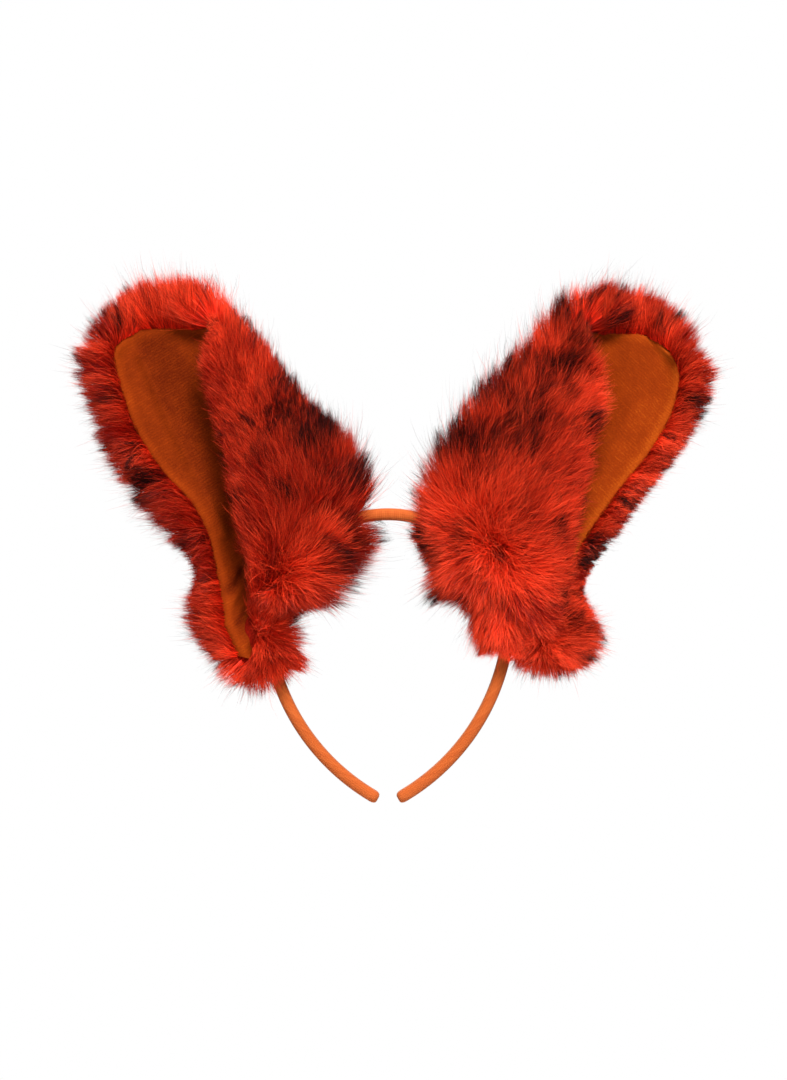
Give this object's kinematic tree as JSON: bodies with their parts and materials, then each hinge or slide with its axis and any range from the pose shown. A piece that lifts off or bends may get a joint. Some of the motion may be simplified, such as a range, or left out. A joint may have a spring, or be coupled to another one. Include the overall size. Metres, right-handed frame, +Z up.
{
  "type": "animal ears headband",
  "caption": "Costume headband: a springy sleeved band that carries folded, lined ears of long-pile fur.",
  "frame": {"origin": "middle of the crown's inner face, where the band sits on the head", "axes": "+X towards the band's own right-hand leg as seen from the front, +Y away from the viewer who faces the ears' linings, +Z up through the crown"},
  "size_m": [0.3014, 0.0547, 0.2525],
  "materials": {
    "fur": "long dark-tipped pile",
    "velour_lining": "short velour nap",
    "band_knit": "finely ribbed stretch knit",
    "foam": "open-cell foam sheet",
    "plastic_core": "moulded, satin",
    "thread": "twisted polyester",
    "steel_wire": "drawn wire"
  },
  "bodies": {
    "crown": {"band_core_crown": "plastic_core", "band_sleeve_crown": "band_knit"},
    "arm_left": {"band_core_left": "plastic_core", "band_sleeve_left": "band_knit", "band_sleeve_end_left": "band_knit", "wrap_lining_left": "velour_lining", "wrap_thread_left": "thread", "wrap_fur_left": "fur"},
    "arm_right": {"band_core_right": "plastic_core", "band_sleeve_right": "band_knit", "band_sleeve_end_right": "band_knit", "wrap_lining_right": "velour_lining", "wrap_thread_right": "thread", "wrap_fur_right": "fur"},
    "ear_left": {"ear_fur_left": "fur", "ear_foam_left": "foam", "ear_lining_left": "velour_lining", "ear_wire_left": "steel_wire"},
    "ear_right": {"ear_fur_right": "fur", "ear_foam_right": "foam", "ear_lining_right": "velour_lining", "ear_wire_right": "steel_wire"}
  },
  "joints": [
    {"name": "flex_left", "type": "hinge", "parent": "crown", "child": "arm_left", "pos_m": [-0.02049, 0, 0.00223], "axis": [0, 1, 0], "range_deg": [0, 12], "stiffness_Nm_per_rad": 1.6},
    {"name": "flex_right", "type": "hinge", "parent": "crown", "child": "arm_right", "pos_m": [0.02049, 0, 0.00223], "axis": [0, -1, 0], "range_deg": [0, 12], "stiffness_Nm_per_rad": 1.6},
    {"name": "ear_left_tilt", "type": "hinge", "parent": "arm_left", "child": "ear_left", "pos_m": [-0.05828, 0, -0.02307], "axis": [0.4695, 0, 0.8829], "range_deg": [-18, 18], "stiffness_Nm_per_rad": 0.15},
    {"name": "ear_right_tilt", "type": "hinge", "parent": "arm_right", "child": "ear_right", "pos_m": [0.05828, 0, -0.02307], "axis": [0.4695, 0, -0.8829], "range_deg": [-18, 18], "stiffness_Nm_per_rad": 0.15}
  ]
}
